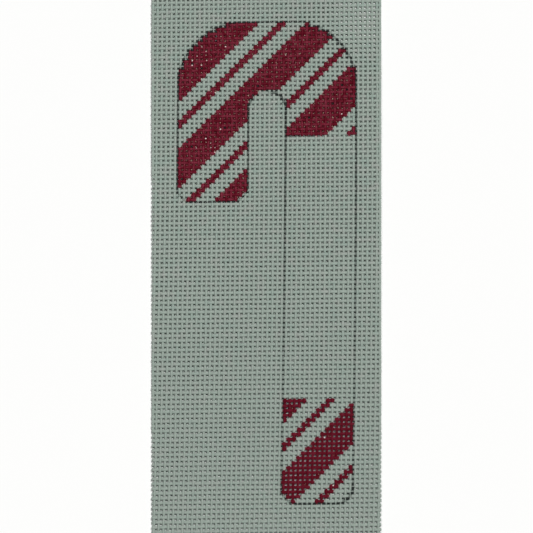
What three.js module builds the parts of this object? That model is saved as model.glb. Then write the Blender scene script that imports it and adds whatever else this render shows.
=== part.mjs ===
// A cut piece of painted needlepoint canvas, lying flat with its painted side up.
// It is one woven sheet: an open plain weave of stiff cotton threads, cut with scissors on all
// four sides, so that every thread ends in a short stub. The paint on it has no thickness of its own.
//
// Millimetres. +Y runs up the picture along the warp, the lengthwise threads. +X runs to its right
// along the weft, the crosswise threads. +Z is up from the painted side.
// The origin is the middle of the underside.
import * as THREE from "three";

// The thread count sets the pitch, and the pitch sets the size of a thread.
const MM_PER_INCH = 25.4;
const THREADS_PER_INCH = 18;
const PITCH = MM_PER_INCH / THREADS_PER_INCH;
const THREAD_WIDTH = 0.56 * PITCH;
const THREAD_HEIGHT = 0.3 * PITCH;

// The sheet is as thick as two threads, one over the other.
const SHEET_THICKNESS = 2 * THREAD_HEIGHT;

// The scissors cut a true rectangle, and the stubs reach it from the outermost crossing threads.
const CUT_WIDTH = 69;
const CUT_LENGTH = 164.2;
const STUB_LENGTH = 0.5;

// Threads are counted from the left and from the top. These counts fall on the sheet's middle.
const MIDDLE_WARP = 24.675;
const MIDDLE_WEFT = 57.477;
const FIRST_WEFT = -1;
const LAST_WEFT = 114;
const LAST_WARP = 49;

// The weave sits a little out of square in its cut outline, as canvas off a roll does.
const WARP_PITCH = 1.004 * PITCH;
const WEFT_PITCH = 0.9965 * PITCH;
const WARP_LEAN = 0.0164; // shift to the left for each weft further down
const WARP_SPREAD = 0.00031; // gain of the warp pitch for each weft further down
const WARP_BOW = 0.00014; // bend of the warp to the left, towards both ends
const WEFT_RISE = 0.017; // rise of a weft thread for each warp further right
const WEFT_GROWTH = 0.00041; // slow growth of the weft pitch towards the bottom

const CANVAS_COLOUR = 0x88928a;
const CANVAS_ROUGHNESS = 0.8;

// The middle of the crossing of two threads, seen from above.
function crossing(warp, weft) {
  const across = warp - MIDDLE_WARP;
  const down = weft - MIDDLE_WEFT;
  const lean = WARP_LEAN * down - WARP_SPREAD * across * down + WARP_BOW * down * down;
  const rise = WEFT_RISE * across - WEFT_GROWTH * down * down;
  return new THREE.Vector2(WARP_PITCH * across - lean, rise - WEFT_PITCH * down);
}

function numbers(first, last) {
  return Array.from({ length: last - first + 1 }, (_, step) => first + step);
}

// Where the warp threads pass a cut end of the sheet, as distances along it.
function warpPlaces(weft) {
  return numbers(0, LAST_WARP).map((warp) => crossing(warp, weft).x);
}

// Where the weft threads pass a cut side of the sheet.
function weftPlaces(warp) {
  return numbers(FIRST_WEFT, LAST_WEFT).map((weft) => crossing(warp, weft).y);
}

// One side of the outline, as [along, out] pairs: the sheet's edge with a stub at each place.
// A thread too close to a corner has no stub of its own.
function combedSide(places, halfSide, edge) {
  const room = halfSide - STUB_LENGTH - THREAD_WIDTH;
  return places
    .filter((place) => Math.abs(place) < room)
    .sort((a, b) => a - b)
    .flatMap((place) => [
      [place - THREAD_WIDTH / 2, edge - STUB_LENGTH],
      [place - THREAD_WIDTH / 2, edge],
      [place + THREAD_WIDTH / 2, edge],
      [place + THREAD_WIDTH / 2, edge - STUB_LENGTH],
    ]);
}

// The outline runs anticlockwise from the lower left corner.
function sheetOutline() {
  const halfWidth = CUT_WIDTH / 2;
  const halfLength = CUT_LENGTH / 2;
  const innerX = halfWidth - STUB_LENGTH;
  const innerY = halfLength - STUB_LENGTH;
  const bottom = combedSide(warpPlaces(LAST_WEFT), halfWidth, halfLength);
  const right = combedSide(weftPlaces(LAST_WARP), halfLength, halfWidth);
  const top = combedSide(warpPlaces(FIRST_WEFT), halfWidth, halfLength);
  const left = combedSide(weftPlaces(0), halfLength, halfWidth);
  const points = [
    [-innerX, -innerY],
    ...bottom.map(([along, out]) => [along, -out]),
    [innerX, -innerY],
    ...right.map(([along, out]) => [out, along]),
    [innerX, innerY],
    ...top.reverse().map(([along, out]) => [along, out]),
    [-innerX, innerY],
    ...left.reverse().map(([along, out]) => [-out, along]),
  ];
  return new THREE.Shape(points.map(([x, y]) => new THREE.Vector2(x, y)));
}

function makeCanvas() {
  const geometry = new THREE.ExtrudeGeometry(sheetOutline(), {
    depth: SHEET_THICKNESS,
    bevelEnabled: false,
  });
  const material = new THREE.MeshStandardMaterial({
    color: CANVAS_COLOUR,
    roughness: CANVAS_ROUGHNESS,
    metalness: 0,
  });
  const mesh = new THREE.Mesh(geometry, material);
  mesh.name = "canvas";
  return mesh;
}

const group = new THREE.Group();
group.add(makeCanvas());

export default group;
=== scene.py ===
import math

import bpy
import numpy as np
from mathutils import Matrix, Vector


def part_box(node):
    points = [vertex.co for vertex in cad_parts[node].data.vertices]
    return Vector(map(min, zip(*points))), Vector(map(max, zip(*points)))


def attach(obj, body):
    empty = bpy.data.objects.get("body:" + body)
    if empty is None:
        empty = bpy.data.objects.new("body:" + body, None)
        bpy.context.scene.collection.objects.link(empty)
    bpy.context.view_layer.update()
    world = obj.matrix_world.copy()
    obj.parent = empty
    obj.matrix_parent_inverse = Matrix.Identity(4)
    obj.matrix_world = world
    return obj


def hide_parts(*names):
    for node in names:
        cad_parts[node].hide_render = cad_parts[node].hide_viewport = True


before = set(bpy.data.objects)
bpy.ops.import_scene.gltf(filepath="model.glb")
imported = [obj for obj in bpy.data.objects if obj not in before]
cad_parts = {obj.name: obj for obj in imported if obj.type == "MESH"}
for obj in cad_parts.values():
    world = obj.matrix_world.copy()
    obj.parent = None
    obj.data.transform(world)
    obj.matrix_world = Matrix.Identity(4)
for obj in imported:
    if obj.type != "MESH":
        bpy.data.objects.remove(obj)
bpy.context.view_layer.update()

MM = 0.001

# ---- The sheet, from its CAD solid ---------------------------------------------------------------

sheet_low, sheet_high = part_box("canvas")
CUT_WIDTH = sheet_high[0] - sheet_low[0]
CUT_LENGTH = sheet_high[1] - sheet_low[1]
SHEET_THICKNESS = sheet_high[2] - sheet_low[2]

# The sheet is 0.6 of the pitch thick. Sizing swells the threads, and they sink a little into each
# other where they cross, so a thread is more than half as high as the sheet.
PITCH = SHEET_THICKNESS / 0.6
WARP_WIDTH = 0.54 * PITCH
WARP_HEIGHT = 0.35 * PITCH
WEFT_WIDTH_TOP = 0.57 * PITCH
WEFT_WIDTH_FOOT = 0.655 * PITCH
WEFT_HEIGHT = 0.32 * PITCH
SECTION_POWER = 2.3  # 2 is an ellipse, and more is squarer

# The warp does most of the bending, over and under the straighter weft.
WARP_CRIMP = (SHEET_THICKNESS - WARP_HEIGHT) / 2
WEFT_CRIMP = 0.1 * PITCH

# The sheet rests on its cut ends and bows up very little between them, more under the hook.
FOOT_BOW = 0.46 * MM
HOOK_BOW = 0.72 * MM
BOW_CHANGE_AT = 10 * MM  # above the sheet's middle
BOW_CHANGE_REACH = 8 * MM
END_REACH = 1.6 * MM  # the sheet comes down to its cut ends within this distance
CORNER_BOW = 0.03 * MM
LOW_CORNER = (31 * MM, 76 * MM)  # the upper right corner lies lowest
LOW_CORNER_RADIUS = 14 * MM
LOW_CORNER_EDGE = 3 * MM

# ---- The weave, counted in threads from the left and from the top --------------------------------

MIDDLE_WARP = 24.675
MIDDLE_WEFT = 57.477
FIRST_WEFT = -1
LAST_WEFT = 114
FIRST_WARP = 0
LAST_WARP = 50

WARP_PITCH = 1.004 * PITCH
WEFT_PITCH = 0.9965 * PITCH
WARP_LEAN = 0.0164 * MM
WARP_SPREAD = 0.00031 * MM
WARP_BOW = 0.00014 * MM
WEFT_RISE = 0.017 * MM
WEFT_GROWTH = 0.00041 * MM

# A warp thread that leans out to the cut follows it for a while, and then has fallen off the edge.
SIDE_ROOM = 0.06 * MM
SIDE_LIMIT = CUT_WIDTH / 2 - WARP_WIDTH / 2 - SIDE_ROOM
SIDE_CROWDING = 0.34 * PITCH
LONGEST_STUB_TRIM = 0.12 * MM

RINGS_PER_PITCH = 4
RING_SIDES = 8
BANDS = 4
WEFT_SLACK_REACH = 12.0  # wefts over which they grow from narrow to wide
WANDER = 0.022  # how far a thread strays sideways, in pitches
SLUB = 0.045  # how much a thread's width changes along it

# ---- The painted cane, in the same thread counts -------------------------------------------------

CANE_LEFT = 5.5
CANE_TOP = 4.5
HOOK_RIGHT = 20.5
STICK_LEFT = 28.5
CANE_RIGHT = 43.5
GAP_TOP = 19.8
HOOK_TIP = 43.5
CANE_FOOT = 107.5
SHOULDER_RADIUS = 14.0
CORNER_RADIUS = 3.5
BRIDGE_END = 24.0  # below this the hook and the stick are apart
FAR_AWAY = 200.0

HOOK_PAINT_END = 29.5
FOOT_PAINT_START = 85.5
STRIPE_REPEAT = 19.5
WIDE_STRIPE = 9.25
THIN_STRIPE = (13.25, 15.25)
HOOK_STRIPE_START = 37.5
FOOT_STRIPE_START = 129.7
FOOT_COAT = (60.0, 80.0)  # weft counts between the hook's coat of paint and the foot's
FOOT_PAINTED_SHADE = (30.0, 110.0)  # weft counts over which the bare cotton is painted a little darker, as painted shade towards the foot

# ---- The pen line, with half widths in pitches and shares of ink from 0 to 1 ---------------------

PEN_OFFSET = 0.05  # how far outside the painted edge the line's middle runs
PEN_JUMP = 0.5  # how far the pen slips to the nearest half pitch, from 0 to 1
PEN_UNDERLINE = (28.5, 34.0, 29.5, 29.52)  # sides of a short line under the red on the stick
UNDERLINE_THINNER = 0.08
EVEN_LINE = (0.1, 0.1)  # half width on the long runs, and what a blot adds to it
TURNING_LINE = (0.06, 0.22)  # the same where the line turns
PRESSED_WIDER = 0.14
PEN_EDGE = (-0.05, 0.06)  # the ink ends over this stretch at the line's edge

SHOULDER_TURN = (15.0, 19.0)  # the line turns above these weft counts
TIP_TURN = (HOOK_TIP - 4.0, HOOK_TIP - 2.0)  # and below these on the hook
FOOT_TURN = (CANE_FOOT - 6.0, CANE_FOOT - 3.0)  # and below these on the stick

STICK_FADE = (34.0, 84.0, 0.66, 0.3)  # from weft 34 to 84 ever less ink stays on the threads
TURNING_COVER = 0.85
PRESSED_COVER = 0.95
PRESSED_DOTTED = 0.6  # how far the line is broken into dots there, where a turn is 1
FAINT_COVER = 0.25
MISSED_MIDDLES = (0.34, 0.45, 0.0, -0.75)  # ink lost from a hole's edge to the middle of a thread

# Places on the line as a warp and a weft count, each with how far it reaches in pitches.
PEN_PRESSED = (
    (9.0, 9.0, 13.0),
    (20.5, 23.0, 4.0),
    (27.0, 20.0, 2.6),
    (28.5, 25.0, 6.0),
    (38.5, 10.0, 8.0),
    (42.0, 105.5, 4.0),
)
INK_POOLS = (
    (9.0, 9.0, 13.0),
    (27.5, 22.0, 4.0),
    (28.5, 26.0, 5.0),
    (39.0, 10.0, 9.0),
    (42.0, 104.0, 8.0),
)
PEN_FAINT = (23.2, 20.0, 2.6)  # here the line hardly shows beside the red

# ---- Colours, linear -----------------------------------------------------------------------------


def linear(red, green, blue):
    """A colour given as 0 to 255 on screen, as the linear numbers that shaders take."""

    def channel(value):
        part = value / 255
        return part / 12.92 if part <= 0.04045 else ((part + 0.055) / 1.055) ** 2.4

    return (channel(red), channel(green), channel(blue), 1.0)


BARE_THREAD = linear(155, 167, 158)
BARE_THREAD_PINK = linear(159, 166, 159)
BARE_THREAD_GREEN = linear(150, 165, 156)
# Painted shade: the bare cotton towards the foot, and down the flanks of the threads.
BARE_THREAD_FOOT_SHADE = linear(144, 155, 147)
BARE_THREAD_FLANK_SHADE = linear(132, 153, 140)
CUT_COTTON = linear(186, 190, 180)
PINK_STAIN = linear(160, 128, 130)

RED_PAINT = linear(112, 20, 42)
# Painted shade down the red flanks of the threads.
RED_PAINT_FLANK_SHADE = linear(78, 7, 20)
RED_PAINT_DEEP = linear(88, 10, 26)
RED_PAINT_FOOT = linear(84, 12, 26)
# Paint rubbed thin on the red crowns, and a painted highlight there.
RED_PAINT_WORN_HIGHLIGHT = linear(146, 92, 102)
FILM_DARK = linear(56, 10, 16)
FILM_RED = linear(84, 14, 26)
# Painted highlight on the paint film's ridges.
FILM_CREST_HIGHLIGHT = linear(205, 180, 160)

PEN_INK = linear(24, 28, 28)
# Pale beads coloured as painted glints.
PEN_INK_THIN = linear(58, 62, 60)
PAINTED_GLINT_PALE = linear(246, 238, 232)
PAINTED_GLINT_PINK = linear(232, 196, 190)
FLOOR_COLOUR = linear(247, 247, 246)


# ---- Where threads cross -------------------------------------------------------------------------


def crossing(warp, weft):
    """The middle of the crossing of two threads, seen from above, as x and y."""
    across = warp - MIDDLE_WARP
    down = weft - MIDDLE_WEFT
    lean = WARP_LEAN * down - WARP_SPREAD * across * down + WARP_BOW * down * down
    rise = WEFT_RISE * across - WEFT_GROWTH * down * down
    return WARP_PITCH * across - lean, rise - WEFT_PITCH * down


def warp_count_at(x, weft):
    """The warp count at distance x from the middle, along a weft thread."""
    down = weft - MIDDLE_WEFT
    shift = WARP_LEAN * down + WARP_BOW * down * down
    return MIDDLE_WARP + (x + shift) / (WARP_PITCH + WARP_SPREAD * down)


def weft_count_at(y, warp):
    """The weft count at height y above the middle, along a warp thread."""
    drop = WEFT_RISE * (warp - MIDDLE_WARP) - y
    root = math.sqrt(WEFT_PITCH * WEFT_PITCH + 4 * WEFT_GROWTH * drop)
    return MIDDLE_WEFT + (root - WEFT_PITCH) / (2 * WEFT_GROWTH)


def smooth_step(value):
    """Goes smoothly from 0, far below zero, to 1, far above it."""
    return 1 / (1 + np.exp(-value))


def bow(x, y):
    """How far the sheet is lifted off the surface at a place."""
    corner_x, corner_y = LOW_CORNER
    away = np.hypot(x - corner_x, y - corner_y)
    in_corner = smooth_step((LOW_CORNER_RADIUS - away) / LOW_CORNER_EDGE)
    under_hook = smooth_step((y - BOW_CHANGE_AT) / BOW_CHANGE_REACH)
    lift = FOOT_BOW + (HOOK_BOW - FOOT_BOW) * under_hook
    lift = lift + (CORNER_BOW - lift) * in_corner
    from_end = np.maximum(CUT_LENGTH / 2 - np.abs(y), 0) / END_REACH
    return lift * (1 - np.exp(-from_end * from_end))


# ---- One thread ----------------------------------------------------------------------------------


def drift(along, seed):
    """A smooth random line between about -1 and 1, the same each time for the same seed."""
    dice = np.random.default_rng(seed)
    total = np.zeros_like(along)
    for wavelength in (3.1, 7.3, 17.0):
        period = wavelength * dice.uniform(0.8, 1.25)
        total += np.sin(2 * np.pi * (along / period + dice.uniform()))
    return total / 2


class Strand:
    """One stretch of one thread: its number, and the counts across it at which it starts and ends."""

    def __init__(self, kind, number, start, end):
        self.kind = kind
        self.number = number
        self.start = start
        self.end = end
        self.seed = 1000 * (kind == "weft") + number + 10
        if kind == "warp":
            self.width, self.height, self.crimp = WARP_WIDTH, WARP_HEIGHT, -WARP_CRIMP
        else:
            slack = smooth_step((number - MIDDLE_WEFT) / WEFT_SLACK_REACH)
            self.width = WEFT_WIDTH_TOP + slack * (WEFT_WIDTH_FOOT - WEFT_WIDTH_TOP)
            self.height, self.crimp = WEFT_HEIGHT, WEFT_CRIMP

    def stations(self):
        """Counts along the strand at which it has a ring."""
        step = 1 / RINGS_PER_PITCH
        first = math.floor(self.start / step) + 1
        last = math.ceil(self.end / step) - 1
        inner = np.arange(first, last + 1) * step
        gap = 0.3 * step
        inner = inner[(inner > self.start + gap) & (inner < self.end - gap)]
        return np.concatenate([[self.start], inner, [self.end]])

    def centre(self, along):
        """The strand's centreline, as warp counts, weft counts and points."""
        stray = self.number + WANDER * drift(along, self.seed)
        warp, weft = (stray, along) if self.kind == "warp" else (along, stray)
        x, y = crossing(warp, weft)
        if self.kind == "warp":
            x = np.clip(x, -SIDE_LIMIT, SIDE_LIMIT)
        wave = self.crimp * np.cos(np.pi * (along + self.number))
        return warp, weft, np.stack([x, y, SHEET_THICKNESS / 2 + bow(x, y) + wave], 1)

    def rings(self):
        """Ring points as (stations, sides, 3), and their warp and weft counts as (stations, sides)."""
        along = self.stations()
        warp, weft, centre = self.centre(along)
        ahead = self.centre(along + 0.01)[2]
        behind = self.centre(along - 0.01)[2]
        tangent = unit(ahead - behind)
        lateral = unit(np.cross([0.0, 0.0, 1.0], tangent))
        normal = np.cross(tangent, lateral)
        plump = 1 + SLUB * drift(along, self.seed + 5000)
        angle = 2 * np.pi * np.arange(RING_SIDES) / RING_SIDES
        side = (plump[:, None] * squarer(np.cos(angle)) * self.width / 2)[:, :, None] * lateral[:, None]
        up = (squarer(np.sin(angle))[None] * self.height / 2)[:, :, None] * normal[:, None]
        points = centre[:, None] + side + up
        warps = warp[:, None] + side[:, :, 0] / WARP_PITCH
        wefts = weft[:, None] - side[:, :, 1] / WEFT_PITCH
        return along, points, warps, wefts


def unit(vectors):
    """The same directions, each with length 1."""
    return vectors / np.linalg.norm(vectors, axis=-1, keepdims=True)


def squarer(values):
    """Turns the cosines or sines of an ellipse into those of a section with a flatter top."""
    return np.sign(values) * np.abs(values) ** (2 / SECTION_POWER)


# ---- All the threads of the sheet ----------------------------------------------------------------


def weft_strand(weft):
    """A crosswise thread, from cut side to cut side."""
    dice = np.random.default_rng(300 + weft)
    left, right = dice.uniform(0, LONGEST_STUB_TRIM, 2)
    start = warp_count_at(left - CUT_WIDTH / 2, weft)
    end = warp_count_at(CUT_WIDTH / 2 - right, weft)
    return Strand("weft", weft, start, end)


def warp_reach(warp):
    """The first and last weft count between which a warp thread lies inside the cut."""
    dice = np.random.default_rng(700 + warp)
    top, bottom = dice.uniform(0, LONGEST_STUB_TRIM, 2)
    start = weft_count_at(CUT_LENGTH / 2 - top, warp)
    end = weft_count_at(bottom - CUT_LENGTH / 2, warp)
    counts = np.linspace(start, end, 2000)
    x = crossing(warp, counts)[0]
    inside = counts[np.abs(x) < SIDE_LIMIT + SIDE_CROWDING]
    return (inside[0], inside[-1]) if len(inside) else (0.0, 0.0)


def hidden_joint(warp, weft):
    """The count nearest to a band's edge at which this warp thread passes under a weft thread."""
    return weft if (warp + weft) % 2 == 0 else weft - 1


def band_strands(first_weft, last_weft):
    """The threads of one band. Its warp threads meet the next band's under a weft thread."""
    strands = [weft_strand(weft) for weft in range(first_weft, last_weft + 1)]
    for warp in range(FIRST_WARP, LAST_WARP + 1):
        top, bottom = warp_reach(warp)
        upper = top if first_weft == FIRST_WEFT else hidden_joint(warp, first_weft)
        lower = bottom if last_weft == LAST_WEFT else hidden_joint(warp, last_weft + 1)
        start, end = max(top, upper), min(bottom, lower)
        if end - start > 1:
            strands.append(Strand("warp", warp, start, end))
    return strands


# ---- Meshes from strands -------------------------------------------------------------------------

CAP_ROOM = 0.5  # pitches of the bake map kept free for a strand's end face


class MeshParts:
    """Collects points, faces and their corner coordinates, and makes one mesh of them."""

    def __init__(self):
        self.points = []
        self.counts = []
        self.corners = []
        self.sizes = []
        self.strand_map = []
        self.bake_map = []
        self.is_end = []
        self.total = 0

    def add_strand(self, strand, lane, lanes):
        """Adds one strand. It takes one lane of the bake map, which is cut into lanes of one height."""
        along, points, warps, wefts = strand.rings()
        stations = len(along)
        shade = np.random.default_rng(strand.seed + 9000).uniform()
        self.points.append(points.reshape(-1, 3))
        shades = np.full(warps.size, shade)
        self.counts.append(np.stack([warps.ravel(), wefts.ravel(), shades], 1))

        ring = np.arange(stations - 1)[:, None]
        side = np.arange(RING_SIDES)[None]
        following = (side + 1) % RING_SIDES
        quad = [(ring, side), (ring, following), (ring + 1, following), (ring + 1, side)]
        corner = np.stack([r * RING_SIDES + s for r, s in quad], -1).reshape(-1)
        self.corners.append(corner + self.total)
        faces = (stations - 1) * RING_SIDES
        self.sizes.append(np.full(faces, 4))
        self.is_end.append(np.zeros(faces, bool))

        shape = (stations - 1, RING_SIDES, 4)
        near, far = along[:-1, None], along[1:, None]
        place = np.stack(np.broadcast_arrays(near, near, far, far), -1)
        place = np.broadcast_to(place, shape).reshape(-1)
        turn = np.stack([side, side + 1, side + 1, side], -1) / RING_SIDES
        turn = np.broadcast_to(turn, shape).reshape(-1)
        self.strand_map.append(np.stack([place, turn], 1))
        self.bake_map.append(self.in_lane(strand, place, turn, lane, lanes))

        for end in (0, 1):
            self.add_end(strand, end, stations, lane, lanes)
        self.total += stations * RING_SIDES

    def add_end(self, strand, end, stations, lane, lanes):
        """Closes one end of the strand with a flat face."""
        order = np.arange(RING_SIDES)
        if end == 0:
            order = order[::-1]
        base = self.total + (stations - 1) * RING_SIDES * end
        self.corners.append(base + order)
        self.sizes.append(np.array([RING_SIDES]))
        self.is_end.append(np.array([True]))
        angle = 2 * np.pi * order / RING_SIDES
        outward = strand.end + CAP_ROOM / 2 if end else strand.start - CAP_ROOM / 2
        place = outward + 0.3 * CAP_ROOM * np.cos(angle)
        turn = 0.5 + 0.3 * np.sin(angle)
        self.strand_map.append(np.stack([place, turn], 1))
        self.bake_map.append(self.in_lane(strand, place, turn, lane, lanes))

    @staticmethod
    def in_lane(strand, place, turn, lane, lanes):
        """Bake map coordinates of a place along the strand and a turn around it."""
        length = strand.end - strand.start + 2 * CAP_ROOM
        across = (place - strand.start + CAP_ROOM) / length
        return np.stack([across, (lane + 0.04 + 0.92 * turn) / lanes], 1)

    def mesh(self, name, materials):
        """The finished mesh, with the first material on the threads and the second on their ends."""
        points = np.concatenate(self.points)
        corners = np.concatenate(self.corners)
        sizes = np.concatenate(self.sizes)
        is_end = np.concatenate(self.is_end)
        made = bpy.data.meshes.new(name)
        made.vertices.add(len(points))
        made.vertices.foreach_set("co", points.astype(np.float32).ravel())
        made.loops.add(len(corners))
        made.loops.foreach_set("vertex_index", corners.astype(np.int32))
        made.polygons.add(len(sizes))
        starts = np.concatenate([[0], np.cumsum(sizes)[:-1]])
        made.polygons.foreach_set("loop_start", starts.astype(np.int32))
        made.polygons.foreach_set("use_smooth", ~is_end)
        made.polygons.foreach_set("material_index", is_end.astype(np.int32))
        for map_name, values in (("OFBake", self.bake_map), ("Strand", self.strand_map)):
            layer = made.uv_layers.new(name=map_name, do_init=False)
            layer.uv.foreach_set("vector", np.concatenate(values).astype(np.float32).ravel())
        stitch = made.attributes.new("stitch", "FLOAT_VECTOR", "POINT")
        stitch.data.foreach_set("vector", np.concatenate(self.counts).astype(np.float32).ravel())
        made.update(calc_edges=True)
        for material in materials:
            made.materials.append(material)
        return made


def add_object(name, mesh):
    """Puts a mesh in the scene as one object."""
    made = bpy.data.objects.new(name, mesh)
    bpy.context.scene.collection.objects.link(made)
    return made


# ---- Rules as shader nodes, or as plain numbers --------------------------------------------------


class Formula:
    """Adds nodes to one material, so that a rule can be written as nested calls."""

    def __init__(self, name):
        self.material = bpy.data.materials.new(name)
        self.material.use_nodes = True
        self.tree = self.material.node_tree
        self.shader = self.tree.nodes["Principled BSDF"]

    def node(self, kind, inputs=(), **settings):
        made = self.tree.nodes.new(kind)
        for name, value in settings.items():
            setattr(made, name, value)
        for key, value in dict(inputs).items():
            self.feed(value, made.inputs[key])
        return made

    def feed(self, value, socket):
        if isinstance(value, bpy.types.NodeSocket):
            self.tree.links.new(value, socket)
        else:
            socket.default_value = value

    def maths(self, operation, *values):
        return self.node("ShaderNodeMath", enumerate(values), operation=operation).outputs[0]

    def add(self, *values):
        total = values[0]
        for value in values[1:]:
            total = self.maths("ADD", total, value)
        return total

    def minus(self, a, b):
        return self.maths("SUBTRACT", a, b)

    def times(self, *values):
        total = values[0]
        for value in values[1:]:
            total = self.maths("MULTIPLY", total, value)
        return total

    def smallest(self, *values):
        total = values[0]
        for value in values[1:]:
            total = self.maths("MINIMUM", total, value)
        return total

    def largest(self, *values):
        total = values[0]
        for value in values[1:]:
            total = self.maths("MAXIMUM", total, value)
        return total

    def is_less(self, a, b):
        return self.maths("LESS_THAN", a, b)

    def absolute(self, value):
        return self.maths("ABSOLUTE", value)

    def remainder(self, value, divisor):
        return self.maths("FLOORED_MODULO", value, divisor)

    def length(self, x, y):
        return self.maths("SQRT", self.add(self.times(x, x), self.times(y, y)))

    def nearest(self, value, step=1.0):
        return self.times(self.maths("ROUND", self.maths("DIVIDE", value, step)), step)

    def rise(self, value, low, high, bottom=0.0, top=1.0):
        """A smooth step from bottom to top as value goes from low to high."""
        limits = [(0, value), (1, low), (2, high), (3, bottom), (4, top)]
        return self.node("ShaderNodeMapRange", limits, interpolation_type="SMOOTHSTEP").outputs[0]

    def vector(self, x, y, z=0.0):
        return self.node("ShaderNodeCombineXYZ", enumerate((x, y, z))).outputs[0]

    def parts(self, vector):
        return self.node("ShaderNodeSeparateXYZ", [(0, vector)]).outputs

    def noise(self, vector, scale, detail=2.0, roughness=0.5):
        inputs = {"Vector": vector, "Scale": scale, "Detail": detail, "Roughness": roughness}
        return self.node("ShaderNodeTexNoise", inputs).outputs["Fac"]

    def mix(self, factor, first, second):
        made = self.node("ShaderNodeMix", [(0, factor), (6, first), (7, second)], data_type="RGBA")
        return made.outputs[2]

    def object_place(self):
        return self.node("ShaderNodeTexCoord").outputs["Object"]

    def surface(self, colour, roughness, gloss):
        """Sets the shader's colour and roughness, and how strongly it reflects."""
        self.feed(colour, self.shader.inputs["Base Color"])
        self.feed(roughness, self.shader.inputs["Roughness"])
        self.shader.inputs["Specular IOR Level"].default_value = gloss

    def relief(self, height, depth):
        """Bump of a height from 0 to 1, on the shader."""
        bump = self.node("ShaderNodeBump", {"Height": height, "Distance": depth, "Strength": 0.8})
        self.feed(bump.outputs[0], self.shader.inputs["Normal"])


class Numbers:
    """The rule-making calls of a Formula, worked out at once on plain numbers."""

    def add(self, *values):
        return sum(values)

    def minus(self, a, b):
        return a - b

    def times(self, *values):
        return math.prod(values)

    def smallest(self, *values):
        return min(values)

    def largest(self, *values):
        return max(values)

    def is_less(self, a, b):
        return float(a < b)

    def absolute(self, value):
        return abs(value)

    def remainder(self, value, divisor):
        return value % divisor

    def length(self, x, y):
        return math.hypot(x, y)


# ---- Where the cane is drawn and painted, as rules for a Formula or for Numbers ------------------


def rounded_box(f, x, y, sides, radius):
    """How far a point is outside a box with round corners, in pitches, and negative inside it."""
    left, right, top, bottom = sides
    away_x = f.minus(f.absolute(f.minus(x, (left + right) / 2)), (right - left) / 2 - radius)
    away_y = f.minus(f.absolute(f.minus(y, (top + bottom) / 2)), (bottom - top) / 2 - radius)
    outside = f.length(f.largest(away_x, 0.0), f.largest(away_y, 0.0))
    inside = f.smallest(f.largest(away_x, away_y), 0.0)
    return f.minus(f.add(outside, inside), radius)


def cane_distance(f, x, y):
    """How far a point is outside the cane's outline, in pitches, and negative inside it."""
    shoulders = rounded_box(f, x, y, (CANE_LEFT, CANE_RIGHT, CANE_TOP, FAR_AWAY), SHOULDER_RADIUS)
    hook = rounded_box(f, x, y, (CANE_LEFT, HOOK_RIGHT, -FAR_AWAY, HOOK_TIP), CORNER_RADIUS)
    stick = rounded_box(f, x, y, (STICK_LEFT, CANE_RIGHT, -FAR_AWAY, CANE_FOOT), CORNER_RADIUS)
    gap = rounded_box(f, x, y, (HOOK_RIGHT, STICK_LEFT, GAP_TOP, FAR_AWAY), CORNER_RADIUS)
    bridge = f.largest(f.minus(y, BRIDGE_END), f.times(gap, -1.0))
    return f.largest(shoulders, f.smallest(hook, stick, bridge))


def stripe_at(f, column, row, start):
    """1 on the crossings that the wide or the thin stripe covers, and 0 elsewhere."""
    phase = f.remainder(f.minus(f.add(column, row), start), STRIPE_REPEAT)
    wide = f.is_less(phase, WIDE_STRIPE)
    thin = f.times(f.is_less(THIN_STRIPE[0], phase), f.is_less(phase, THIN_STRIPE[1]))
    return f.largest(wide, thin)


def is_painted(f, column, row):
    """1 on the crossings that are painted red, and 0 elsewhere."""
    inside = f.is_less(cane_distance(f, column, row), 0.0)
    on_hook = f.largest(f.is_less(row, HOOK_PAINT_END), f.is_less(column, HOOK_RIGHT))
    on_foot = f.is_less(FOOT_PAINT_START, row)
    hook = f.times(on_hook, stripe_at(f, column, row, HOOK_STRIPE_START))
    foot = f.times(on_foot, stripe_at(f, column, row, FOOT_STRIPE_START))
    return f.times(inside, f.largest(hook, foot))


def span_to(f, x, y, place):
    """How far a point is from a place, in pitches."""
    warp, weft, _ = place
    return f.length(f.minus(x, warp), f.minus(y, weft))


def pen_pressed(f, x, y):
    """1 where the pen was pressed hard, going to 0 around those places."""
    pressed = 0.0
    for place in PEN_PRESSED:
        reach = place[2]
        pressed = f.largest(pressed, f.rise(span_to(f, x, y, place), 0.5 * reach, reach, 1.0, 0.0))
    return pressed


def pen_turning(f, x, y):
    """1 at the shoulders, the hook's tip and the foot, where the line turns, and 0 on its long runs."""
    on_hook = f.is_less(x, HOOK_RIGHT + 1.0)
    tip = f.times(on_hook, f.rise(y, *TIP_TURN))
    return f.largest(f.rise(y, *SHOULDER_TURN, 1.0, 0.0), f.rise(y, *FOOT_TURN), tip)


def pen_reach(f, x, y, turning, pressed):
    """Half the width of the line. It is even on the long runs, and blots where it turns."""
    blot = f.rise(f.noise(f.vector(x, y, 23.0), 1.3, 2.0), 0.36, 0.62)
    even = f.add(EVEN_LINE[0], f.times(blot, EVEN_LINE[1]))
    turned = f.add(TURNING_LINE[0], f.times(blot, TURNING_LINE[1]))
    return f.add(even, f.times(turning, f.minus(turned, even)), f.times(pressed, PRESSED_WIDER))


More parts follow.
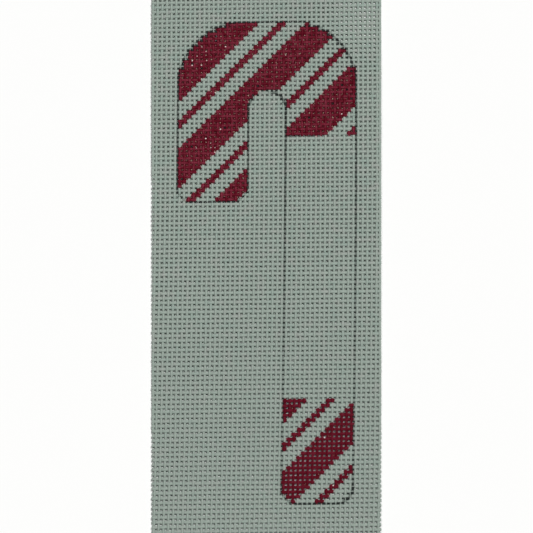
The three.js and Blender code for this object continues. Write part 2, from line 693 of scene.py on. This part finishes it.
def pen_cover(f, x, y, turning, pressed):
    """How much ink stays on the threads. Where the line turns or is pressed, it is dotted."""
    faded = f.rise(y, *STICK_FADE)
    cover = f.add(faded, f.times(turning, f.minus(TURNING_COVER, faded)))
    faint_reach = PEN_FAINT[2]
    faint = f.rise(span_to(f, x, y, PEN_FAINT), 0.7 * faint_reach, faint_reach, FAINT_COVER, 1.0)
    off_x = f.absolute(f.minus(x, f.add(f.nearest(f.minus(x, 0.5)), 0.5)))
    off_y = f.absolute(f.minus(y, f.add(f.nearest(f.minus(y, 0.5)), 0.5)))
    missed = f.rise(f.largest(off_x, off_y), *MISSED_MIDDLES)
    broken = f.largest(turning, f.times(pressed, PRESSED_DOTTED))
    dotted = f.add(1.0, f.times(broken, missed))
    return f.times(f.largest(cover, f.times(pressed, PRESSED_COVER)), faint, dotted)


def pen_ink(f, x, y, wobble_x, wobble_y):
    """How much ink lies on a thread at a place, from 0 to 1."""
    jump_x = f.times(f.minus(f.nearest(x, 0.5), x), PEN_JUMP)
    jump_y = f.times(f.minus(f.nearest(y, 0.5), y), PEN_JUMP)
    x_drawn, y_drawn = f.add(x, jump_x, wobble_x), f.add(y, jump_y, wobble_y)
    outline = f.absolute(f.minus(cane_distance(f, x_drawn, y_drawn), PEN_OFFSET))
    underline = f.add(rounded_box(f, x_drawn, y_drawn, PEN_UNDERLINE, 0.0), UNDERLINE_THINNER)
    away = f.smallest(outline, underline)
    turning = pen_turning(f, x, y)
    pressed = pen_pressed(f, x, y)
    beyond = f.minus(away, pen_reach(f, x, y, turning, pressed))
    return f.times(f.rise(beyond, *PEN_EDGE, 1.0, 0.0), pen_cover(f, x, y, turning, pressed))


# ---- Materials of the threads --------------------------------------------------------------------

PLIES = 2.0
PLY_TWIST = 0.9  # turns of the plies for each pitch along the thread
THREAD_RELIEF = 0.05 * MM
THREAD_ROUGHNESS = 0.66
GRAIN_ROUGHER = 0.24
PAINT_SMOOTHER = 0.12
THREAD_GLOSS = 0.05
LEAST_SHADE = 0.93
# Painted shade in the grooves between the plies.
PLY_GROOVE_PAINTED_SHADE = 0.05
GRAIN_SHADE = 0.14
OWN_SHADE = 0.05  # how much paler one thread may be than the next
STAIN_SPREAD = 3.5  # how much further a stain runs than the paint does
PEN_STEADIER = 0.4  # the pen strays this much as far as the paint does


def wobble(f, x, y, seed):
    """A smooth random shift between about -0.25 and 0.25 pitches."""
    return f.times(f.minus(f.noise(f.vector(x, y, seed), 1.3, 1.0), 0.5), 0.5)


def bare_cotton(f, x, y, height):
    """Bare sized cotton, a little greener or pinker here and there, with painted shade down its flanks
    and a little painted shade towards the foot.
    """
    tint = f.noise(f.vector(x, y, 71.0), 0.45, 3.0)
    bare = f.mix(f.rise(tint, 0.52, 0.68), BARE_THREAD, BARE_THREAD_PINK)
    bare = f.mix(f.rise(tint, 0.32, 0.48, 1.0, 0.0), bare, BARE_THREAD_GREEN)
    # Painted shade: the bare cotton turns a little darker towards the foot.
    bare = f.mix(f.rise(y, *FOOT_PAINTED_SHADE, 0.0, 0.5), bare, BARE_THREAD_FOOT_SHADE)
    # Painted shade: the flanks and underside of each thread are darker and greener.
    return f.mix(f.rise(height, -0.6, 0.3, 1.0, 0.0), bare, BARE_THREAD_FLANK_SHADE)


def red_paint(f, y, height, blotch, grain):
    """Red paint in blotches, with painted shade down the flanks, darker on the foot, and rubbed thin on
    top, where a painted highlight lies.
    """
    red = f.mix(f.rise(blotch, 0.3, 0.7), RED_PAINT_DEEP, RED_PAINT)
    # Painted shade: the paint is darker down the flanks of each thread.
    red = f.mix(f.rise(height, -0.1, 0.7, 0.85, 0.0), red, RED_PAINT_FLANK_SHADE)
    red = f.mix(f.rise(y, *FOOT_COAT, 0.0, 0.5), red, RED_PAINT_FOOT)
    # Paint rubbed thin on the crowns, drawn paler as a painted highlight on top of the threads.
    rubbed_and_highlit = f.times(f.rise(grain, 0.47, 0.62), f.rise(blotch, 0.36, 0.6), f.rise(height, 0.3, 0.8))
    return f.mix(f.times(rubbed_and_highlit, f.rise(y, *FOOT_COAT, 0.5, 0.1)), red, RED_PAINT_WORN_HIGHLIGHT)


def canvas_material():
    """Sized cotton with paint and pen ink on it, placed by the thread counts of each point."""
    f = Formula("painted_canvas")
    stitch = f.node("ShaderNodeAttribute", attribute_name="stitch").outputs["Vector"]
    x, y, own = f.parts(stitch)
    strand = f.node("ShaderNodeUVMap", uv_map="Strand").outputs["UV"]
    along, around, _ = f.parts(strand)
    height = f.maths("SINE", f.times(around, 2 * math.pi))

    # Changes from crossing to crossing, and quick ones along each thread.
    blotch = f.noise(f.vector(x, y, f.times(own, 3.0)), 0.9, 3.0)
    grain_place = f.vector(f.times(along, 3.0), f.times(around, 9.0), f.times(own, 50.0))
    grain = f.noise(grain_place, 2.0, 4.0, 0.65)
    wobble_x, wobble_y = wobble(f, x, y, 11.0), wobble(f, x, y, 47.0)

    # Bare cotton, with a pink stain where thinned paint has run past the stripes.
    bare = bare_cotton(f, x, y, height)
    stain_column = f.nearest(f.add(x, f.times(wobble_x, STAIN_SPREAD)))
    stain_row = f.nearest(f.add(y, f.times(wobble_y, STAIN_SPREAD)))
    stain = f.times(is_painted(f, stain_column, stain_row), f.rise(blotch, 0.4, 0.6, 0.0, 0.6))
    bare = f.mix(stain, bare, PINK_STAIN)

    # Red paint on whole crossings. It covers the upper side and runs down the flanks of the threads.
    on_crossing = is_painted(f, f.nearest(f.add(x, wobble_x)), f.nearest(f.add(y, wobble_y)))
    on_flank = f.rise(f.add(height, f.times(f.minus(blotch, 0.5), 0.8)), -0.9, -0.5)
    cover = f.times(on_crossing, on_flank)
    colour = f.mix(cover, bare, red_paint(f, y, height, blotch, grain))

    # The pen line.
    ink = pen_ink(f, x, y, f.times(wobble_x, PEN_STEADIER), f.times(wobble_y, PEN_STEADIER))
    colour = f.mix(f.times(ink, f.rise(height, -0.7, -0.3)), colour, PEN_INK)

    # Two plies twisted together, under the sizing, with painted shade in the grooves between them, and
    # loose fibres.
    turns = f.add(f.times(around, PLIES), f.times(along, PLY_TWIST))
    ridge = f.rise(f.maths("SINE", f.times(turns, 2 * math.pi)), -1.0, 0.2)
    grain_shade = f.times(f.minus(grain, 0.5), GRAIN_SHADE)
    shade = f.add(LEAST_SHADE, f.times(ridge, PLY_GROOVE_PAINTED_SHADE), grain_shade, f.times(own, OWN_SHADE))
    shaded = f.node("ShaderNodeVectorMath", {0: colour, "Scale": shade}, operation="SCALE")
    rougher = f.times(grain, GRAIN_ROUGHER)
    roughness = f.add(THREAD_ROUGHNESS, rougher, f.times(cover, -PAINT_SMOOTHER))
    f.surface(shaded.outputs[0], roughness, THREAD_GLOSS)
    f.relief(f.add(f.times(ridge, 0.35), f.times(grain, 0.5)), THREAD_RELIEF)
    return f.material


def cut_cotton_material():
    """The raw cotton that shows where a thread is cut through."""
    f = Formula("cut_cotton")
    tufts = f.noise(f.object_place(), 9000.0, 3.0, 0.7)
    colour = f.mix(f.rise(tufts, 0.35, 0.65), CUT_COTTON, BARE_THREAD_GREEN)
    f.surface(colour, f.add(0.8, f.times(tufts, 0.15)), 0.2)
    f.relief(tufts, 0.05 * MM)
    return f.material


# ---- Materials of what lies in and on the weave --------------------------------------------------


def paint_film_material():
    """Red paint that has dried dark and wrinkled across the holes, with painted highlights on its
    ridges.
    """
    f = Formula("paint_film")
    place = f.object_place()
    pools = f.noise(place, 900.0, 2.0)
    wrinkles = f.noise(place, 5200.0, 4.0, 0.6)
    crest_highlights = f.noise(place, 3600.0, 3.0, 0.6)
    dried = f.mix(f.rise(pools, 0.35, 0.65), FILM_DARK, FILM_RED)
    dried = f.mix(f.rise(wrinkles, 0.5, 0.75, 0.0, 0.5), dried, RED_PAINT)
    # Painted highlights: pale spots on the film's ridges.
    dried = f.mix(f.rise(crest_highlights, 0.56, 0.64, 0.0, 0.75), dried, FILM_CREST_HIGHLIGHT)
    f.surface(dried, f.add(0.45, f.times(wrinkles, 0.3)), 0.06)
    f.relief(wrinkles, 0.03 * MM)
    return f.material


def ink_film_material():
    """Black pen ink that has dried in the holes."""
    f = Formula("ink_film")
    pools = f.noise(f.object_place(), 2400.0, 3.0)
    colour = f.mix(f.rise(pools, 0.4, 0.7), PEN_INK, PEN_INK_THIN)
    f.surface(colour, f.add(0.5, f.times(pools, 0.3)), 0.1)
    f.relief(pools, 0.02 * MM)
    return f.material


def painted_glint_material():
    """Pale beads on the painted threads, coloured as painted glints."""
    f = Formula("painted_glint_bead")
    cloud = f.noise(f.object_place(), 2600.0, 2.0)
    # Painted glints: pale beads that stand in for glints on the painted threads.
    colour = f.mix(f.rise(cloud, 0.3, 0.7), PAINTED_GLINT_PALE, PAINTED_GLINT_PINK)
    f.surface(colour, f.add(0.3, f.times(cloud, 0.3)), 0.4)
    f.relief(cloud, 0.02 * MM)
    return f.material


# ---- The canvas pieces ---------------------------------------------------------------------------


def belongs_to_canvas(piece):
    """Ties a piece to the CAD part's one body and one node."""
    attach(piece, "root")
    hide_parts("canvas")


def make_bands(materials):
    """The sheet, in bands of weft threads, so that no piece holds too many faces."""
    rows = LAST_WEFT - FIRST_WEFT + 1
    edges = [FIRST_WEFT + round(rows * step / BANDS) for step in range(BANDS + 1)]
    for step in range(BANDS):
        first, last = edges[step], edges[step + 1] - 1
        strands = band_strands(first, last)
        parts = MeshParts()
        for lane, strand in enumerate(strands):
            parts.add_strand(strand, lane, len(strands))
        piece = add_object(f"canvas_band_{step + 1}", parts.mesh(f"canvas_band_{step + 1}", materials))
        belongs_to_canvas(piece)


# ---- Paint across the holes, and pale beads as painted glints ------------------------------------

FILM_HALF_WIDTH = 0.34 * PITCH
FILM_HALF_LENGTH = 0.32 * PITCH
FILM_THICKNESS = 0.05 * PITCH
FILM_SAG = 0.06 * PITCH
FILM_DEPTH = 0.04 * PITCH  # how far the film lies below the middle of the sheet
FILM_SHIFT = 0.1 * PITCH
FILM_CHANCE_HOOK = 0.96
FILM_CHANCE_FOOT = 0.05

INK_REACH = 0.42  # a hole holds ink if its middle is this near to the pen line, in pitches
INK_POOL_REACH = 0.6
INK_HALF_WIDTH = 0.27 * PITCH  # from one warp thread to the next
INK_HALF_LENGTH = 0.13 * PITCH
INK_LENGTHS = (0.8, 0.6)  # the least, and what chance adds to it
INK_POOL_LONGER = 0.9
INK_SHIFT_ACROSS = 0.04 * PITCH
INK_SHIFT_DOWN = 0.16 * PITCH

BEAD_HALF_WIDTH = 0.17 * PITCH
BEAD_HALF_LENGTH = 0.12 * PITCH
BEAD_THICKNESS = 0.16 * PITCH
BEAD_DROP = 0.3 * PITCH  # how far a bead sits from the middle of its hole, towards the foot
BEAD_HEIGHT = 0.13 * PITCH
BEAD_SHIFT = 0.2 * PITCH
BEAD_SIZES = (0.7, 0.5)  # the least, and what chance adds to it
BEAD_CHANCE = 0.01
BEAD_GATHERINGS = ((10.0, 11.0, 5.0, 0.24), (12.5, 31.5, 2.5, 0.3))  # place, reach, chance

LENS_SIDES = 12
LENS_RING = 0.6  # place of the ring between a lens's rim and its middle
LENS_RING_SWELL = 0.8  # its thickness there, as a share of that in the middle


def lens_points(middle, half_width, half_length, thickness, sag):
    """A lens: its rim, an upper and a lower ring inside it, and its two middles."""
    turn = 2 * np.pi * np.arange(LENS_SIDES) / LENS_SIDES
    rim = np.stack([half_width * np.cos(turn), half_length * np.sin(turn), 0 * turn], 1)
    drop = sag * (1 - LENS_RING * LENS_RING)
    swell = LENS_RING_SWELL * thickness / 2
    upper = rim * LENS_RING + [0, 0, swell - drop]
    lower = rim * LENS_RING - [0, 0, swell + drop]
    middles = np.array([[0, 0, thickness / 2 - sag], [0, 0, -thickness / 2 - sag]])
    return np.concatenate([rim, upper, lower, middles]) + middle


def lens_faces():
    """Faces of the points that lens_points gives, all facing out."""
    faces = []
    top, bottom = 3 * LENS_SIDES, 3 * LENS_SIDES + 1
    for side in range(LENS_SIDES):
        after = (side + 1) % LENS_SIDES
        rim, rim_after = side, after
        upper, upper_after = LENS_SIDES + side, LENS_SIDES + after
        lower, lower_after = 2 * LENS_SIDES + side, 2 * LENS_SIDES + after
        faces.append((rim, rim_after, upper_after, upper))
        faces.append((upper, upper_after, top))
        faces.append((rim_after, rim, lower, lower_after))
        faces.append((lower_after, lower, bottom))
    return faces


def make_lenses(name, lenses, material):
    """One piece of many lenses."""
    shape = lens_faces()
    size = 3 * LENS_SIDES + 2
    points = np.concatenate(lenses)
    firsts = range(0, size * len(lenses), size)
    faces = [tuple(first + corner for corner in face) for first in firsts for face in shape]
    mesh = bpy.data.meshes.new(name)
    mesh.from_pydata(points.tolist(), [], faces)
    mesh.polygons.foreach_set("use_smooth", np.ones(len(faces), bool))
    mesh.materials.append(material)
    belongs_to_canvas(add_object(name, mesh))


def painted_holes():
    """Warp and weft counts of the holes with red on at least three of the four crossings round them."""
    rule = Numbers()
    for row in range(round(CANE_TOP), round(CANE_FOOT)):
        for column in range(round(CANE_LEFT), round(CANE_RIGHT)):
            corners = [(column + a, row + b) for a in (0, 1) for b in (0, 1)]
            if sum(is_painted(rule, *corner) for corner in corners) >= 3:
                yield column + 0.5, row + 0.5


def in_ink_pool(hole):
    """Whether a hole lies where ink has gathered."""
    return any(math.dist(hole, (warp, weft)) < reach for warp, weft, reach in INK_POOLS)


def holes_near_cane():
    """Warp and weft counts of all the holes on the cane and just round it."""
    for row in range(round(CANE_TOP) - 1, round(CANE_FOOT) + 1):
        for column in range(round(CANE_LEFT) - 1, round(CANE_RIGHT) + 1):
            yield column + 0.5, row + 0.5


def make_ink_films():
    """Pen ink that has sunk into the holes under the line, most of it where ink has gathered."""
    rule = Numbers()
    dice = np.random.default_rng(77)
    films = []
    least, more = INK_LENGTHS
    for hole in holes_near_cane():
        pooled = in_ink_pool(hole)
        if abs(cane_distance(rule, *hole)) > (INK_POOL_REACH if pooled else INK_REACH):
            continue
        plump, shift_x, shift_y = dice.uniform(size=3)
        length = INK_HALF_LENGTH * (least + more * plump + INK_POOL_LONGER * pooled)
        x, y = crossing(*hole)
        level = SHEET_THICKNESS / 2 + bow(x, y)
        x += (shift_x - 0.5) * INK_SHIFT_ACROSS
        y += (shift_y - 0.5) * INK_SHIFT_DOWN
        films.append(lens_points([x, y, level], INK_HALF_WIDTH, length, FILM_THICKNESS, 0))
    make_lenses("ink_films", films, ink_film_material())


def bead_chance(column, row):
    """The chance that a hole has a bead beside it."""
    chance = BEAD_CHANCE
    for warp, weft, reach, most in BEAD_GATHERINGS:
        away = math.dist((column, row), (warp, weft)) / reach
        chance += most * math.exp(-away * away)
    return chance


def paint_film(x, y, level, shift_x, shift_y):
    """A film of paint that hangs in a hole."""
    middle = [x + (shift_x - 0.5) * FILM_SHIFT, y + (shift_y - 0.5) * FILM_SHIFT, level - FILM_DEPTH]
    return lens_points(middle, FILM_HALF_WIDTH, FILM_HALF_LENGTH, FILM_THICKNESS, FILM_SAG)


def painted_glint_bead(x, y, level, shift_x, plump):
    """A pale bead, coloured as a painted glint, that stands on the thread below a hole."""
    middle = [x + (shift_x - 0.5) * BEAD_SHIFT, y - BEAD_DROP, level + BEAD_HEIGHT]
    size = BEAD_SIZES[0] + BEAD_SIZES[1] * plump
    return lens_points(middle, BEAD_HALF_WIDTH * size, BEAD_HALF_LENGTH * size, BEAD_THICKNESS, 0)


def make_paint_films():
    """Dried paint across the holes of the stripes, and pale beads as painted glints beside some of
    them.
    """
    dice = np.random.default_rng(44)
    films, beads = [], []
    for column, row in painted_holes():
        chance = FILM_CHANCE_FOOT if row > FOOT_PAINT_START else FILM_CHANCE_HOOK
        luck, bead_luck, shift_x, shift_y, plump = dice.uniform(size=5)
        x, y = crossing(column, row)
        level = SHEET_THICKNESS / 2 + bow(x, y)
        if luck < chance:
            films.append(paint_film(x, y, level, shift_x, shift_y))
        if bead_luck < bead_chance(column, row):
            beads.append(painted_glint_bead(x, y, level, shift_x, plump))
    make_lenses("paint_films", films, paint_film_material())
    make_lenses("painted_glint_beads", beads, painted_glint_material())


# ---- Stage, light and camera ---------------------------------------------------------------------

VIEW_SIZE = 160.03 * MM  # the side of the square that the camera sees on the sheet
CAMERA_HEIGHT = 0.62
FLOOR_SIZE = 30.0  # wide enough that its edge doesn't show from low down
# Each distant light: name, elevation, turn from +Y towards +X, how wide it is in degrees, and strength.
STUDIO_LIGHTS = (("key", 57, 25, 12, 2.72), ("counter", 38, 190, 24, 1.2))
WORLD_STRENGTH = 0.1


def make_floor():
    """The pale surface that the canvas lies on."""
    mesh = bpy.data.meshes.new("floor")
    half = FLOOR_SIZE / 2
    corners = [(-half, -half, 0), (half, -half, 0), (half, half, 0), (-half, half, 0)]
    mesh.from_pydata(corners, [], [(0, 1, 2, 3)])
    f = Formula("pale_floor")
    f.shader.inputs["Base Color"].default_value = FLOOR_COLOUR
    f.shader.inputs["Roughness"].default_value = 0.9
    f.shader.inputs["Specular IOR Level"].default_value = 0.1
    mesh.materials.append(f.material)
    add_object("floor", mesh)


def aim(thing, place, target):
    """Puts a thing at a place and turns it towards another."""
    thing.location = place
    direction = Vector(target) - Vector(place)
    thing.rotation_euler = direction.to_track_quat("-Z", "Y").to_euler()


def add_distant_light(name, elevation, turn, width, strength):
    """A soft light from one direction, as even as a large softbox far away."""
    data = bpy.data.lights.new(name, "SUN")
    data.angle = math.radians(width)
    data.energy = strength
    lamp = bpy.data.objects.new(name, data)
    bpy.context.scene.collection.objects.link(lamp)
    up, round_z = math.radians(elevation), math.radians(turn)
    place = (math.cos(up) * math.sin(round_z), math.cos(up) * math.cos(round_z), math.sin(up))
    aim(lamp, place, (0.0, 0.0, 0.0))


def make_lights():
    for light in STUDIO_LIGHTS:
        add_distant_light(*light)
    world = bpy.data.worlds.new("studio")
    world.use_nodes = True
    background = world.node_tree.nodes["Background"]
    background.inputs["Color"].default_value = (1.0, 1.0, 1.0, 1.0)
    background.inputs["Strength"].default_value = WORLD_STRENGTH
    bpy.context.scene.world = world


def make_camera():
    """Straight above the middle of the sheet, with the picture upright."""
    data = bpy.data.cameras.new("camera")
    distance = CAMERA_HEIGHT - SHEET_THICKNESS
    data.lens = data.sensor_width * distance / VIEW_SIZE
    camera = bpy.data.objects.new("camera", data)
    camera.location = (0.0, 0.0, CAMERA_HEIGHT)
    bpy.context.scene.collection.objects.link(camera)
    bpy.context.scene.camera = camera


make_camera()
make_bands([canvas_material(), cut_cotton_material()])
make_paint_films()
make_ink_films()
make_floor()
make_lights()
bpy.context.scene.view_settings.view_transform = "Standard"
